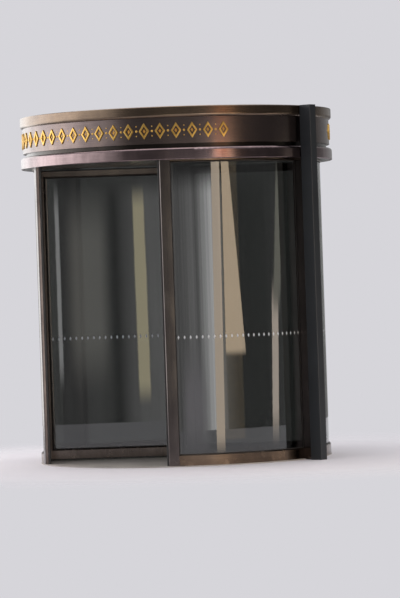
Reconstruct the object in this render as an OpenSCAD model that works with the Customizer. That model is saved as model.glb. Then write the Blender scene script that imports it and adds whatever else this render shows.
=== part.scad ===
// Four-leaf revolving door with a curved glass drum and a round bronze canopy.
// The origin is on the turning axis at floor level, -Y is the street, +Z is up.

/* [Drum] */
// Outer radius of the curved walls
drum_r = 1575; // [1300:5:1900]
// Radial thickness of the wall rails and posts
wall_t = 60; // [50:2:90]
// Half of the way in, as an angle at the axis
entry_half = 33.3; // [28:0.1:38]
// Width of a post beside the way in, measured along the wall
post_w = 110; // [90:2:160]
// Width of the post's full-depth nose; the rest of it is set back like the rails
nose_w = 60; // [40:2:70]
// Chamfer on the nose's outer corner
nose_ease = 8; // [3:1:14]
// Width and depth of the shadow joint between the nose and the rest of the post
joint_w = 4; // [2:0.5:8]
// Height of the curved bottom rail above the floor plate
sill_h = 112; // [60:2:250]
// Height of the slope along the top of the bottom rail and the foot of the top rail
rail_slope = 10; // [4:1:18]
// Height of the curved top rail
head_h = 20; // [16:1:120]
// Set-back of the rails from the outer face of the posts
rail_setback = 4; // [2:1:10]
// Width of the rubber edge on a post, into the way in
edge_w = 24; // [12:1:40]
// Radial depth of the rubber edge
edge_d = 22; // [12:1:32]

/* [Floor] */
// Thickness of the floor plate
floor_t = 12; // [8:1:25]
// Radius of the hole for the floor bearing
floor_hole_r = 90; // [70:1:130]
// How far the floor bearing stands above the floor plate
bearing_rise = 2; // [1:0.5:5]
// Thickness of the bearing under the pivot pin
bearing_base = 4; // [3:0.5:6]

/* [Canopy] */
// Height from the floor to the underside of the canopy
soffit_h = 3180; // [2400:10:3400]
// Overhang of the canopy beyond the drum
overhang = 110; // [80:5:300]
// Height of the upper band
top_band_h = 114; // [60:2:200]
// Height of the recessed panel band
panel_h = 270; // [150:5:500]
// Height of the deep groove under the panel band
groove_h = 40; // [15:1:80]
// Height of the lower band
lower_band_h = 126; // [60:2:200]
// Set-back of the panel band from the upper and lower bands
panel_setback = 26; // [10:1:40]
// Radial thickness of the upper and lower bands
band_t = 60; // [50:2:90]
// Radius of the round nose on the edge of each band that faces the panel band
band_nose_r = 30; // [12:1:40]
// Radius of the small round on the outer edge of each band
band_ease_r = 8; // [3:1:12]
// Width and depth of the drip groove under the lower band
drip_w = 8; // [4:1:14]
// Radial thickness of the ring that carries the bands
carrier_t = 25; // [15:1:60]
// Thickness of the ceiling plate and of the roof plate
plate_t = 12; // [6:1:30]
// Height of the upper band's lip above the roof plate
roof_lip = 18; // [6:1:40]
// Distance from the canopy to the facade posts
facade_gap = 2; // [1:0.5:6]

/* [Facade frame] */
// Face of the facade posts, behind the turning axis
facade_y = 20; // [0:5:80]
// Depth of the facade posts
facade_d = 100; // [70:5:200]
// Set-back of the side jambs from the face of the facade posts; their backs are flush
jamb_setback = 60; // [0:5:65]
// Width of a facade post
facade_w = 140; // [80:5:250]
// Chamfer on the upright edges of the side jambs and facade posts
jamb_ease = 4; // [2:0.5:8]

/* [Leaves] */
// Turn of the first leaf from the street side towards +X
rest_a = 39; // [35:1:45]
// Thickness of a leaf frame
leaf_t = 50; // [40:1:70]
// Width of a leaf's upright stiles
stile_w = 56; // [40:1:100]
// Height of a leaf's bottom rail
bottom_rail_h = 104; // [60:2:250]
// Height of a leaf's top rail
top_rail_h = 68; // [40:2:150]
// Width of the sloped glazing bead round a leaf's pane
bead_w = 14; // [8:1:20]
// Gap between the bead's inner edge and the pane, for the gasket
bead_seat = 5; // [3:0.5:7]
// Chamfer on the outer upright edges of a leaf
leaf_ease = 4; // [2:0.5:8]
// How far the brush seals reach out of a leaf frame
brush_out = 14; // [8:1:25]
// Thickness of the brush seals
brush_t = 10; // [6:1:16]
// Running gap round a leaf's brush seals
run_gap = 6; // [5:0.5:12]

/* [Shaft] */
// Radius of the centre shaft
shaft_r = 50; // [40:1:70]
// Radius of the hub discs
hub_r = 96; // [80:1:120]
// Thickness of the hub discs
hub_h = 18; // [12:1:40]
// Chamfer on the outer edges of the hub discs
hub_ease = 4; // [2:0.5:6]
// Gap between a hub disc and the brush seals
hub_gap = 4; // [2:0.5:8]
// Radius of the bottom pivot pin
pivot_r = 20; // [12:1:30]
// Radius of the top journal
journal_r = 38; // [25:1:45]
// Height of the top journal in its bearing
journal_h = 50; // [30:1:80]
// Height of the top bearing's collar
collar_h = 64; // [50:1:100]
// Thickness of the top bearing's flange on the ceiling plate
flange_t = 14; // [8:1:24]
// How far that flange reaches out past the hole in the ceiling plate
flange_w = 50; // [20:1:80]

/* [Glass] */
// Thickness of the glass panes
glass_t = 10; // [8:1:16]
// How deep a pane sits in its frame
bite = 12; // [8:1:16]

/* [Hidden] */
$fn = 180;

bronze = "#8b6b56";
dark_steel = "#3d444b";
clear_glass = "#9fb0ad";
black_rubber = "#1d1c1b";
stone_grey = "#bcb8b1";
machined_steel = "#8d8f90";

// Gap between a piece and the curved face, the turned face or the ceiling that it seats on
seat_gap = 0.3;
// Radial clearance of a shaft in its bearing
bearing_gap = 0.3;

// Walls
inner_r = drum_r - wall_t;
mid_r = drum_r - wall_t / 2;
wall_z0 = floor_t;
wall_z1 = soffit_h - seat_gap;
post_a = post_w / drum_r * 180 / PI;
nose_a = nose_w / drum_r * 180 / PI;
joint_a = joint_w / drum_r * 180 / PI;
rail_outer_r = drum_r - rail_setback;
rail_inner_r = inner_r + rail_setback;
jamb_y = facade_y + jamb_setback;
jamb_d = facade_d - jamb_setback;
street_end = jamb_y;
lobby_end = -(jamb_y + jamb_d);
pane_z0 = wall_z0 + sill_h - bite;
pane_z1 = wall_z1 - head_h + bite;
bite_a = bite / mid_r * 180 / PI;
slot_bite_a = (bite + seat_gap) / mid_r * 180 / PI;
rail_start_a = entry_half + post_a + seat_gap / mid_r * 180 / PI;

// Ends of a sweep that is cut off at the side jamb, as angles from the street side
sweep_end_a = 100;
slot_start_a = 80;

// How far a cut runs on past the face that it opens
over = 1;

// Canopy
canopy_r = drum_r + overhang;
carrier_r = canopy_r - band_t;
fascia_h = lower_band_h + groove_h + panel_h + top_band_h;
canopy_top = soffit_h + fascia_h;
roof_z = canopy_top - roof_lip - plate_t;
groove_z = soffit_h + lower_band_h;
panel_z = groove_z + groove_h;
top_band_z = panel_z + panel_h;
drip_r = canopy_r - band_ease_r - 2 * drip_w;
jamb_x1 = canopy_r + facade_gap;

// Shaft and leaves
bearing_z1 = floor_t + bearing_rise;
shaft_z0 = bearing_z1 + run_gap;
shaft_z1 = soffit_h - run_gap;
leaf_z0 = shaft_z0 + hub_h;
leaf_z1 = shaft_z1 - hub_h;
leaf_r0 = shaft_r + seat_gap;
leaf_r1 = inner_r - run_gap - brush_out;
leaf_turn = 90;
light_x0 = leaf_r0 + stile_w;
light_x1 = leaf_r1 - stile_w;
light_z0 = leaf_z0 + bottom_rail_h;
light_z1 = leaf_z1 - top_rail_h;

// Cuts a hollow slot a little wider than the pane that sits in it
slot_t = glass_t + 2 * seat_gap;
slot_bite = bite + seat_gap;

// Puts one side's piece on the left or the right, at the street or the lobby
module place(left, lobby) {
    mirror([left ? 1 : 0, 0, 0])
        mirror([0, lobby ? 1 : 0, 0])
            children();
}

// Sweeps a radius-and-height profile round the right street quarter,
// from an angle off the street side to the plane where the side jamb stands
module swept_arc(from_a, end_y) {
    difference() {
        rotate([0, 0, from_a - 90])
            rotate_extrude(angle = sweep_end_a - from_a)
                children();
        translate([0, end_y, -over])
            cube([2 * drum_r, 2 * drum_r, soffit_h + 2 * over]);
    }
}

// A curved rail with sloped edges towards the pane and a slot that the pane sits in;
// lean is 1 where the slopes face up and -1 where they face down
module rail_profile(z0, z1, slot_z0, slot_z1, sloped_z, lean) {
    difference() {
        translate([rail_inner_r, z0])
            square([rail_outer_r - rail_inner_r, z1 - z0]);
        translate([mid_r - slot_t / 2, slot_z0])
            square([slot_t, slot_z1 - slot_z0]);
        for (side = [-1, 1])
            translate([mid_r, sloped_z])
                scale([side, lean])
                    rail_slope_cut();
    }
}

// What the slope takes off a rail, from the mid radius and the edge that faces the pane
module rail_slope_cut() {
    rail_half = wall_t / 2 - rail_setback;
    bead_x = glass_t / 2 + bead_seat;
    polygon([
        [bead_x, 0],
        [rail_half, -rail_slope],
        [rail_half + over, -rail_slope],
        [rail_half + over, over],
        [bead_x, over]
    ]);
}

module wall_sill(end_y) {
    top_z = wall_z0 + sill_h;
    color(bronze)
        swept_arc(rail_start_a, end_y)
            rail_profile(wall_z0, top_z, pane_z0 - seat_gap, top_z + over, top_z, 1);
}

module wall_head(end_y) {
    foot_z = wall_z1 - head_h;
    color(bronze)
        swept_arc(rail_start_a, end_y)
            rail_profile(foot_z, wall_z1, foot_z - over, pane_z1 + seat_gap, foot_z, -1);
}

module wall_glass(end_y) {
    color(clear_glass, 0.4)
        swept_arc(entry_half + post_a - bite_a, end_y + bite)
            translate([mid_r - glass_t / 2, pane_z0])
                square([glass_t, pane_z1 - pane_z0]);
}

// A piece of a ring in plan, between two angles off the street side and two radii
module ring_piece(from_a, to_a, from_r, to_r) {
    far = 2 * to_r;
    intersection() {
        difference() {
            circle(r = to_r);
            circle(r = from_r);
        }
        polygon([
            [0, 0],
            [far * sin(from_a), -far * cos(from_a)],
            [far * sin(to_a), -far * cos(to_a)]
        ]);
    }
}

// The corner that a chamfer takes off the post's nose, at a radius in the plane of the way in
module nose_corner(edge_r, ease, inward) {
    rotate(entry_half - 90)
        translate([edge_r, 0])
            mirror([inward ? 1 : 0, 0])
                polygon([[-ease, -over], [over, -over], [over, ease + over], [-ease, 0]]);
}

// Plan of a post: a nose of full depth, a shadow joint, and a stile that is set back like the rails
module post_plan() {
    post_end = entry_half + post_a;
    joint_from = entry_half + nose_a;
    joint_to = joint_from + joint_a;
    difference() {
        union() {
            ring_piece(entry_half, joint_from, inner_r, drum_r);
            ring_piece(
                joint_from - joint_a, joint_to + joint_a,
                rail_inner_r + joint_w, rail_outer_r - joint_w
            );
            ring_piece(joint_to, post_end, rail_inner_r, rail_outer_r);
        }
        nose_corner(drum_r, nose_ease, false);
        nose_corner(inner_r, rail_setback, true);
    }
}

// An upright that closes the curved wall beside the way in, with a slot for the pane
module entry_post() {
    post_end = entry_half + post_a;
    color(bronze)
        difference() {
            translate([0, 0, wall_z0])
                linear_extrude(wall_z1 - wall_z0)
                    post_plan();
            translate([0, 0, pane_z0 - seat_gap])
                linear_extrude(pane_z1 - pane_z0 + 2 * seat_gap)
                    ring_piece(
                        post_end - slot_bite_a, post_end + slot_bite_a,
                        mid_r - slot_t / 2, mid_r + slot_t / 2
                    );
        }
}

// A soft edge along the post, on the side that faces the turning leaves
module safety_edge() {
    nose_r = edge_d / 2;
    edge_mid_r = inner_r + rail_setback + nose_r;
    rotate([0, 0, entry_half - 90])
        translate([edge_mid_r, -seat_gap, wall_z0])
            linear_extrude(wall_z1 - wall_z0)
                union() {
                    translate([-nose_r, -(edge_w - nose_r)])
                        square([edge_d, edge_w - nose_r]);
                    translate([0, -(edge_w - nose_r)])
                        circle(r = nose_r, $fn = 48);
                }
}

// The two soft edges of one way in
module safety_edges(lobby) {
    color(black_rubber)
        for (left = [false, true])
            place(left, lobby)
                safety_edge();
}

// A bar that stands on the floor, with a chamfer on each upright edge
module upright_bar(corner, size, height, ease) {
    translate([corner.x, corner.y, 0])
        linear_extrude(height)
            polygon([
                [ease, 0], [size.x - ease, 0], [size.x, ease], [size.x, size.y - ease],
                [size.x - ease, size.y], [ease, size.y], [0, size.y - ease], [0, ease]
            ]);
}

module side_jamb() {
    color(bronze)
        difference() {
            upright_bar([inner_r, jamb_y], [jamb_x1 - inner_r, jamb_d], wall_z1, jamb_ease);
            jamb_slot(false);
            jamb_slot(true);
        }
}

// Where the pane of the street quarter or of the lobby quarter enters the jamb
module jamb_slot(lobby) {
    mirror([0, lobby ? 1 : 0, 0])
        swept_arc(slot_start_a, (lobby ? lobby_end : street_end) + slot_bite)
            translate([mid_r - slot_t / 2, pane_z0 - seat_gap])
                square([slot_t, pane_z1 - pane_z0 + 2 * seat_gap]);
}

module facade_post() {
    color(dark_steel)
        upright_bar([jamb_x1, facade_y], [facade_w, facade_d], canopy_top, jamb_ease);
}

// A round plate, cut out round the feet of the two side jambs
module floor_plate() {
    color(stone_grey)
        difference() {
            cylinder(r = drum_r, h = floor_t);
            translate([0, 0, -over])
                cylinder(r = floor_hole_r, h = floor_t + 2 * over);
            for (left = [false, true])
                place(left, false)
                    translate([inner_r - seat_gap, jamb_y - seat_gap, -over])
                        cube([wall_t + over, jamb_d + 2 * seat_gap, floor_t + 2 * over]);
        }
}

module floor_bearing() {
    color(machined_steel)
        difference() {
            cylinder(r = floor_hole_r - seat_gap, h = bearing_z1);
            translate([0, 0, bearing_base])
                cylinder(r = pivot_r + bearing_gap, h = bearing_z1 - bearing_base + over);
        }
}

module ceiling_plate() {
    color(bronze)
        translate([0, 0, soffit_h])
            difference() {
                cylinder(r = carrier_r - seat_gap, h = plate_t);
                translate([0, 0, -over])
                    cylinder(r = floor_hole_r, h = plate_t + 2 * over);
            }
}

module canopy_carrier() {
    color(dark_steel)
        rotate_extrude()
            translate([carrier_r - carrier_t, soffit_h + plate_t])
                square([carrier_t - seat_gap, roof_z - soffit_h - plate_t]);
}

// A round on the outer edge of a band; up is 1 for its upper edge and -1 for its lower edge
module band_round(z, radius, up) {
    translate([canopy_r - radius, z - up * radius])
        mirror([0, up < 0 ? 1 : 0])
            difference() {
                square([radius + over, radius + over]);
                circle(r = radius);
            }
}

// The section of a canopy band, with its own round on each outer edge
module band_profile(z0, z1, lower_r, upper_r) {
    difference() {
        translate([carrier_r, z0])
            square([band_t, z1 - z0]);
        band_round(z0, lower_r, -1);
        band_round(z1, upper_r, 1);
    }
}

// The lower band: a round nose under the deep groove, and a drip groove in its underside
module fascia_lower_band() {
    color(bronze)
        rotate_extrude()
            difference() {
                band_profile(soffit_h, groove_z, band_ease_r, band_nose_r);
                translate([drip_r, soffit_h - over])
                    square([drip_w, drip_w + over]);
            }
}

module fascia_panel() {
    color(bronze)
        rotate_extrude()
            translate([carrier_r, panel_z])
                square([band_t - panel_setback, panel_h]);
}

module fascia_top_band() {
    color(bronze)
        rotate_extrude()
            band_profile(top_band_z, canopy_top, band_nose_r, band_ease_r);
}

module canopy_roof() {
    color(dark_steel)
        translate([0, 0, roof_z])
            cylinder(r = carrier_r - seat_gap, h = plate_t);
}

module top_bearing() {
    color(machined_steel)
        translate([0, 0, soffit_h])
            difference() {
                union() {
                    cylinder(r = floor_hole_r - seat_gap, h = collar_h);
                    translate([0, 0, plate_t])
                        cylinder(r = floor_hole_r + flange_w, h = flange_t);
                }
                translate([0, 0, -over])
                    cylinder(r = journal_r + bearing_gap, h = collar_h + 2 * over);
            }
}

// The shaft between its bottom pivot pin and its top journal
module centre_shaft() {
    pin_z = bearing_base + seat_gap;
    color(bronze)
        union() {
            translate([0, 0, pin_z])
                cylinder(r = pivot_r, h = shaft_z0 - pin_z + over);
            translate([0, 0, shaft_z0])
                cylinder(r = shaft_r, h = shaft_z1 - shaft_z0);
            translate([0, 0, shaft_z1 - over])
                cylinder(r = journal_r, h = journal_h + over);
        }
}

// A ring clamped round the shaft at the foot or the head of the leaves
module hub_disc(z) {
    bore_r = shaft_r + seat_gap;
    color(bronze)
        rotate_extrude()
            translate([0, z])
                polygon([
                    [bore_r, 0], [hub_r - hub_ease, 0], [hub_r, hub_ease],
                    [hub_r, hub_h - hub_ease], [hub_r - hub_ease, hub_h], [bore_r, hub_h]
                ]);
}

// Turns a leaf piece, drawn along +X, to its place round the shaft
module turn_leaf(number) {
    rotate([0, 0, rest_a - 90 + leaf_turn * (number - 1)])
        children();
}

// A bar with an outline in the leaf's thickness and another in its length or height, so that
// the light between the stiles and rails gets a sloped glazing bead with mitred corners
module light_outline(from, to) {
    half = leaf_t / 2;
    seat = glass_t / 2 + bead_seat;
    reach = half + over;
    flare = bead_w * (reach - seat) / (half - seat);
    polygon([
        [from - flare, -reach], [to + flare, -reach], [to, -seat], [to, seat],
        [to + flare, reach], [from - flare, reach], [from, seat], [from, -seat]
    ]);
}

// The opening for the pane: the stiles' outline and the rails' outline, each run right through
module leaf_light() {
    intersection() {
        linear_extrude(soffit_h)
            light_outline(light_x0, light_x1);
        translate([leaf_r1, 0, 0])
            rotate([0, -90, 0])
                linear_extrude(leaf_r1)
                    light_outline(light_z0, light_z1);
    }
}

// The leaf's outline in plan, with chamfers on its outer upright edges
module leaf_plan() {
    half = leaf_t / 2;
    polygon([
        [leaf_r0, -half], [leaf_r1 - leaf_ease, -half], [leaf_r1, leaf_ease - half],
        [leaf_r1, half - leaf_ease], [leaf_r1 - leaf_ease, half], [leaf_r0, half]
    ]);
}

module leaf_frame(number) {
    color(bronze)
        turn_leaf(number)
            difference() {
                translate([0, 0, leaf_z0])
                    linear_extrude(leaf_z1 - leaf_z0)
                        leaf_plan();
                leaf_light();
                translate([light_x0 - slot_bite, -slot_t / 2, light_z0 - slot_bite])
                    cube([
                        light_x1 - light_x0 + 2 * slot_bite,
                        slot_t,
                        light_z1 - light_z0 + 2 * slot_bite
                    ]);
            }
}

module leaf_glass(number) {
    color(clear_glass, 0.4)
        turn_leaf(number)
            translate([light_x0 - bite, -glass_t / 2, light_z0 - bite])
                cube([
                    light_x1 - light_x0 + 2 * bite,
                    glass_t,
                    light_z1 - light_z0 + 2 * bite
                ]);
}

// Brushes along the bottom, the outer stile and the top of a leaf, in one run
module leaf_brushes(number) {
    brush_x0 = hub_r + hub_gap;
    brush_x1 = leaf_r1 + brush_out;
    brush_z0 = floor_t + run_gap;
    brush_z1 = soffit_h - run_gap;
    color(black_rubber)
        turn_leaf(number)
            difference() {
                translate([brush_x0, -brush_t / 2, brush_z0])
                    cube([brush_x1 - brush_x0, brush_t, brush_z1 - brush_z0]);
                translate([brush_x0 - over, -brush_t, leaf_z0])
                    cube([leaf_r1 - brush_x0 + over, 2 * brush_t, leaf_z1 - leaf_z0]);
            }
}

floor_plate();
floor_bearing();
place(true, false) entry_post();  // left_street_post
place(false, false) entry_post();  // right_street_post
place(true, true) entry_post();  // left_lobby_post
place(false, true) entry_post();  // right_lobby_post
safety_edges(false);  // street_safety_edges
safety_edges(true);  // lobby_safety_edges
place(true, false) wall_sill(street_end);  // left_street_sill
place(false, false) wall_sill(street_end);  // right_street_sill
place(true, true) wall_sill(lobby_end);  // left_lobby_sill
place(false, true) wall_sill(lobby_end);  // right_lobby_sill
place(true, false) wall_head(street_end);  // left_street_head
place(false, false) wall_head(street_end);  // right_street_head
place(true, true) wall_head(lobby_end);  // left_lobby_head
place(false, true) wall_head(lobby_end);  // right_lobby_head
place(true, false) wall_glass(street_end);  // left_street_glass
place(false, false) wall_glass(street_end);  // right_street_glass
place(true, true) wall_glass(lobby_end);  // left_lobby_glass
place(false, true) wall_glass(lobby_end);  // right_lobby_glass
place(true, false) side_jamb();  // left_jamb
place(false, false) side_jamb();  // right_jamb
place(true, false) facade_post();  // left_facade_post
place(false, false) facade_post();  // right_facade_post
ceiling_plate();
canopy_carrier();
fascia_lower_band();
fascia_panel();
fascia_top_band();
canopy_roof();
top_bearing();
centre_shaft();
hub_disc(shaft_z0);  // bottom_hub
hub_disc(leaf_z1);  // top_hub
leaf_frame(1);  // leaf_1_frame
leaf_frame(2);  // leaf_2_frame
leaf_frame(3);  // leaf_3_frame
leaf_frame(4);  // leaf_4_frame
leaf_glass(1);  // leaf_1_glass
leaf_glass(2);  // leaf_2_glass
leaf_glass(3);  // leaf_3_glass
leaf_glass(4);  // leaf_4_glass
leaf_brushes(1);  // leaf_1_brushes
leaf_brushes(2);  // leaf_2_brushes
leaf_brushes(3);  // leaf_3_brushes
leaf_brushes(4);  // leaf_4_brushes
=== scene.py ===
"""Looks of a four-leaf revolving door with a curved glass drum and a round bronze canopy.

Metres. The origin is on the turning axis at floor level, -Y is the street and +Z is up. Angles in plan
are measured at the axis from the street side towards +X.
"""

import math
import random

import bmesh
import bpy
from mathutils import Matrix, Vector


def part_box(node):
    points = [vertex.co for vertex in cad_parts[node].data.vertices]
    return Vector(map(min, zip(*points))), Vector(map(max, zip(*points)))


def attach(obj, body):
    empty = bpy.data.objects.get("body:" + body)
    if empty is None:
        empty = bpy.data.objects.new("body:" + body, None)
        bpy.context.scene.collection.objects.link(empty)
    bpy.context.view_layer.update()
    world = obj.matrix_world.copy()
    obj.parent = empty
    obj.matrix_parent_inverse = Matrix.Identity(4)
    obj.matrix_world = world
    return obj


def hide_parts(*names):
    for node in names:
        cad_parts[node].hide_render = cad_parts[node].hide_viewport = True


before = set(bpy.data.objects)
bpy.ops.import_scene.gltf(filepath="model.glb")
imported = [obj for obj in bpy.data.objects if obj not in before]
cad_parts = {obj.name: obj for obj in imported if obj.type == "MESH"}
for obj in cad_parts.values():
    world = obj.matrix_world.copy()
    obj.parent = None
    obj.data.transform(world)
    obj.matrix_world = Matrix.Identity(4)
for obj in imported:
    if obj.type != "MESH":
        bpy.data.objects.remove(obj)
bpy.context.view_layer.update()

MM = 0.001

# Drum: its places from the frame, its thicknesses and its way in as in the part's source
DRUM_R = -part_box("floor_plate")[0].y
SILL_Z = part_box("right_street_sill")[1].z
HEAD_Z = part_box("right_street_head")[0].z
GLASS_T = 10 * MM
WALL_T = 60 * MM
WALL_MID_R = DRUM_R - WALL_T / 2
ENTRY_HALF = math.radians(33.3)
POST_W = 110 * MM
FACADE_FACE_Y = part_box("right_jamb")[0].y
FACADE_BACK_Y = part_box("right_jamb")[1].y

# Canopy, from the frame
PANEL_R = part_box("fascia_panel")[1].x
PANEL_Z = (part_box("fascia_panel")[0].z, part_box("fascia_panel")[1].z)

# Leaves: their heights from the frame, their radii and rails as in the part's source
LEAF_COUNT = 4
LEAF_REST = math.radians(39)
LEAF_Z = (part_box("leaf_1_frame")[0].z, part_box("leaf_1_frame")[1].z)
LEAF_R = (50.3 * MM, 1495 * MM)
STILE_W = 56 * MM
BOTTOM_RAIL_H = 104 * MM
TOP_RAIL_H = 68 * MM
BRUSH_Z = (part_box("leaf_1_brushes")[0].z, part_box("leaf_1_brushes")[1].z)
BRUSH_R = (100 * MM, 1509 * MM)

# Each quarter of the drum, with the signs of X and Y that take the right street quarter to it
QUARTERS = {
    "right_street": (1, 1),
    "left_street": (-1, 1),
    "right_lobby": (1, -1),
    "left_lobby": (-1, -1),
}

# Sockets of a Mix node, by number because several share a name
FACTOR = 0
LEVEL_A, LEVEL_B = 2, 3
COLOUR_A, COLOUR_B = 6, 7
LEVEL_OUT, COLOUR_OUT = 0, 2


def linear(hex_colour):
    """An sRGB hex value as the linear colour that Blender's sockets take."""
    values = [int(hex_colour[i:i + 2], 16) / 255 for i in (1, 3, 5)]
    return [v / 12.92 if v <= 0.04045 else ((v + 0.055) / 1.055) ** 2.4 for v in values] + [1.0]


def add(tree, kind, links=None, **settings):
    """Adds a node with its settings; links gives a value or another node's output to each socket, by the
    socket's name or its number."""
    node = tree.nodes.new(kind)
    for name, value in settings.items():
        setattr(node, name, value)
    for socket, value in (links or {}).items():
        if isinstance(value, bpy.types.NodeSocket):
            tree.links.new(value, node.inputs[socket])
        else:
            node.inputs[socket].default_value = value
    return node


def new_material(name, **constants):
    """A material with one Principled shader; constants are put on the shader's own sockets. It returns
    the material, its tree, the shader and the Object coordinates that its patterns read."""
    material = bpy.data.materials.new(name)
    material.use_nodes = True
    tree = material.node_tree
    shader = tree.nodes["Principled BSDF"]
    for socket, value in constants.items():
        shader.inputs[socket.replace("_", " ")].default_value = value
    place = add(tree, "ShaderNodeTexCoord").outputs["Object"]
    return material, tree, shader, place


# Brushing lines are 0.2 mm apart on the real metal and are drawn 3 mm apart so that they show
BRUSHING_PITCH = 3 * MM
BRUSHING_LENGTH = 400 * MM
BRUSHING_DEPTH = 0.15 * MM
PATINA_PATCH = 350 * MM
RAIN_RUN_W = 45 * MM
RAIN_RUN_LENGTH = 1100 * MM
SCUFF_GRAIN = 110 * MM
SCUFF_Z = (20 * MM, 320 * MM)
SCUFF_DULLING = 0.25
WAX_ROUGHNESS = 0.16
WAX_IOR = 1.5
SATIN_ROUGHNESS = 0.28
SHINIEST_SHARE = 0.68


def satin_bronze(name, upright, dark, mid, light, coat, dullest=SATIN_ROUGHNESS):
    """Architectural bronze, brushed, chemically darkened and waxed: brown with cloudy patches and faint
    rain runs, a long soft highlight across the brushing, a thin clear wax film that reflects without
    colour, and pale scuffs near the floor. The brushing runs up the piece where upright is true."""
    material, tree, shader, place = new_material(
        name, Metallic=1.0, Coat_Weight=coat, Coat_Roughness=WAX_ROUGHNESS, Coat_IOR=WAX_IOR)
    patches = add(tree, "ShaderNodeTexNoise", {"Vector": place, "Scale": 1 / PATINA_PATCH, "Detail": 5.0,
                                              "Roughness": 0.6})
    across, along = 1 / BRUSHING_PITCH, 1 / BRUSHING_LENGTH
    stretch = (across, across, along) if upright else (along, along, across)
    lines_place = add(tree, "ShaderNodeMapping", {"Vector": place, "Scale": stretch})
    lines = add(tree, "ShaderNodeTexNoise", {"Vector": lines_place.outputs["Vector"], "Scale": 1.0,
                                            "Detail": 3.0, "Roughness": 0.7})
    runs_place = add(tree, "ShaderNodeMapping", {"Vector": place,
                                                "Scale": (1 / RAIN_RUN_W, 1 / RAIN_RUN_W,
                                                          1 / RAIN_RUN_LENGTH)})
    runs = add(tree, "ShaderNodeTexNoise", {"Vector": runs_place.outputs["Vector"], "Scale": 1.0,
                                           "Detail": 2.0})
    blotch = add(tree, "ShaderNodeMapRange", {"Value": patches.outputs["Fac"], "From Min": 0.35,
                                             "From Max": 0.7}, interpolation_type="SMOOTHSTEP")
    tone = add(tree, "ShaderNodeMix", {FACTOR: blotch.outputs["Result"], COLOUR_A: linear(dark),
                                      COLOUR_B: linear(mid)}, data_type="RGBA")
    line_tone = add(tree, "ShaderNodeMapRange", {"Value": lines.outputs["Fac"], "From Min": 0.45,
                                                "From Max": 0.95, "To Max": 0.7})
    brushed = add(tree, "ShaderNodeMix", {FACTOR: line_tone.outputs["Result"],
                                         COLOUR_A: tone.outputs[COLOUR_OUT], COLOUR_B: linear(light)},
                  data_type="RGBA")
    run_tone = add(tree, "ShaderNodeMapRange", {"Value": runs.outputs["Fac"], "From Min": 0.5,
                                               "From Max": 0.75, "To Max": 0.35})
    rained = add(tree, "ShaderNodeMix", {FACTOR: run_tone.outputs["Result"],
                                        COLOUR_A: brushed.outputs[COLOUR_OUT], COLOUR_B: linear(dark)},
                 data_type="RGBA")
    height = add(tree, "ShaderNodeSeparateXYZ", {0: place})
    low = add(tree, "ShaderNodeMapRange", {"Value": height.outputs["Z"], "From Min": SCUFF_Z[1],
                                          "From Max": SCUFF_Z[0]}, interpolation_type="SMOOTHSTEP")
    rubs = add(tree, "ShaderNodeTexNoise", {"Vector": place, "Scale": 1 / SCUFF_GRAIN, "Detail": 4.0,
                                           "Roughness": 0.55})
    rubbed = add(tree, "ShaderNodeMapRange", {"Value": rubs.outputs["Fac"], "From Min": 0.5,
                                             "From Max": 0.75, "To Max": 0.45})
    scuff = add(tree, "ShaderNodeMath", {0: low.outputs["Result"], 1: rubbed.outputs["Result"]},
                operation="MULTIPLY")
    worn = add(tree, "ShaderNodeMix", {FACTOR: scuff.outputs["Value"],
                                      COLOUR_A: rained.outputs[COLOUR_OUT], COLOUR_B: linear(light)},
               data_type="RGBA")
    sheen = add(tree, "ShaderNodeMapRange", {"Value": patches.outputs["Fac"], "From Min": 0.3,
                                            "From Max": 0.75, "To Min": dullest,
                                            "To Max": dullest * SHINIEST_SHARE})
    dulled = add(tree, "ShaderNodeMath", {0: scuff.outputs["Value"], 1: SCUFF_DULLING,
                                         2: sheen.outputs["Result"]}, operation="MULTIPLY_ADD")
    relief = add(tree, "ShaderNodeBump", {"Height": lines.outputs["Fac"], "Strength": 0.25,
                                         "Distance": BRUSHING_DEPTH})
    tree.links.new(worn.outputs[COLOUR_OUT], shader.inputs["Base Color"])
    tree.links.new(dulled.outputs["Value"], shader.inputs["Roughness"])
    tree.links.new(relief.outputs["Normal"], shader.inputs["Normal"])
    return material


GILT_RUB_GRAIN = 40 * MM


def gilt_bronze():
    """Cast bronze ornament, gilded and burnished: warm yellow, lighter and shinier in patches."""
    material, tree, shader, place = new_material("gilt_bronze", Metallic=1.0)
    rub = add(tree, "ShaderNodeTexNoise", {"Vector": place, "Scale": 1 / GILT_RUB_GRAIN, "Detail": 4.0})
    tone = add(tree, "ShaderNodeMix", {FACTOR: rub.outputs["Fac"], COLOUR_A: linear("#b98a3c"),
                                      COLOUR_B: linear("#e2bd6d")}, data_type="RGBA")
    shine = add(tree, "ShaderNodeMapRange", {"Value": rub.outputs["Fac"], "To Min": 0.5, "To Max": 0.3})
    tree.links.new(tone.outputs[COLOUR_OUT], shader.inputs["Base Color"])
    tree.links.new(shine.outputs["Result"], shader.inputs["Roughness"])
    return material


# Stands for the coated face and the bare face together, which reflect about 8 percent
COATED_GLASS_IOR = 1.8
ROLLER_WAVE = 250 * MM
ROLLER_WAVE_DEPTH = 0.2 * MM


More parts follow.
